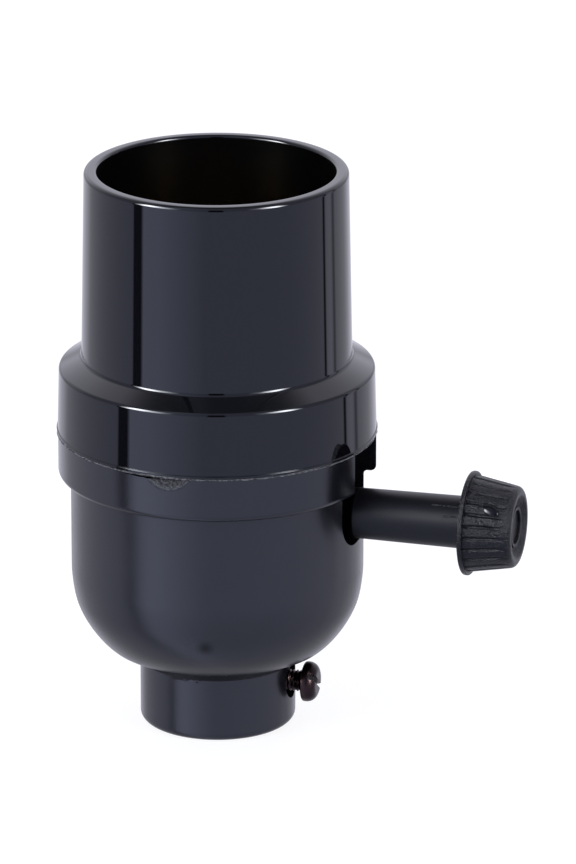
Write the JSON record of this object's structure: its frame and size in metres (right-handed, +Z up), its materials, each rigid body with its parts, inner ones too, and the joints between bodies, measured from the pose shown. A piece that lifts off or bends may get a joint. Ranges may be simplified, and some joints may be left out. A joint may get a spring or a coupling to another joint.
{
  "type": "turn knob lamp socket",
  "caption": "Moulded lamp socket for a medium screw bulb, with a turn knob switch on its side and a threaded neck with a set screw below.",
  "frame": {"origin": "centre of the neck's lower face, where the lamp's threaded nipple enters", "axes": "+Z up the bulb's axis towards the mouth, +X out along the knob's spindle"},
  "size_m": [0.064, 0.0436, 0.0781],
  "materials": {
    "shell_phenolic": "polished moulded phenolic",
    "block_phenolic": "dull moulded phenolic",
    "knob_plastic": "fine grained moulding",
    "stem_plastic": "satin moulding",
    "shell_brass": "rolled and bright",
    "contact_brass": "stamped",
    "plated_metal": "nickel plated",
    "steel": "drawn and zinc plated",
    "dark_bronze": "darkened, worn bright at the slot",
    "fibre": "vulcanised fibre"
  },
  "bodies": {
    "socket": {"upper_shell": "shell_phenolic", "lower_shell": "shell_phenolic", "neck_bushing": "contact_brass", "screw_shell": "shell_brass", "shell_rivet": "contact_brass", "contact_rivet": "contact_brass", "center_contact": "contact_brass", "assembly_screws": "steel", "switch_block": "block_phenolic", "switch_cover": "fibre", "detent_spring": "steel", "center_blade": "contact_brass", "hot_terminal": "contact_brass", "hot_screw": "contact_brass", "neutral_terminal": "plated_metal", "neutral_screw": "plated_metal"},
    "knob": {"knob": "knob_plastic", "stem_sleeve": "stem_plastic", "spindle": "steel", "rotor": "block_phenolic", "rotor_contact": "contact_brass", "thrust_washer": "fibre"},
    "set_screw": {"set_screw": "dark_bronze"}
  },
  "joints": [
    {"name": "knob_turn", "type": "hinge", "parent": "socket", "child": "knob", "pos_m": [0.0352, 0, 0.0312], "axis": [1, 0, 0], "continuous": true, "deforming": ["detent_spring"]},
    {"name": "set_screw_travel", "type": "slide", "parent": "socket", "child": "set_screw", "axis": [1, 0, 0], "range_m": [-0.001, 0.0012]}
  ]
}
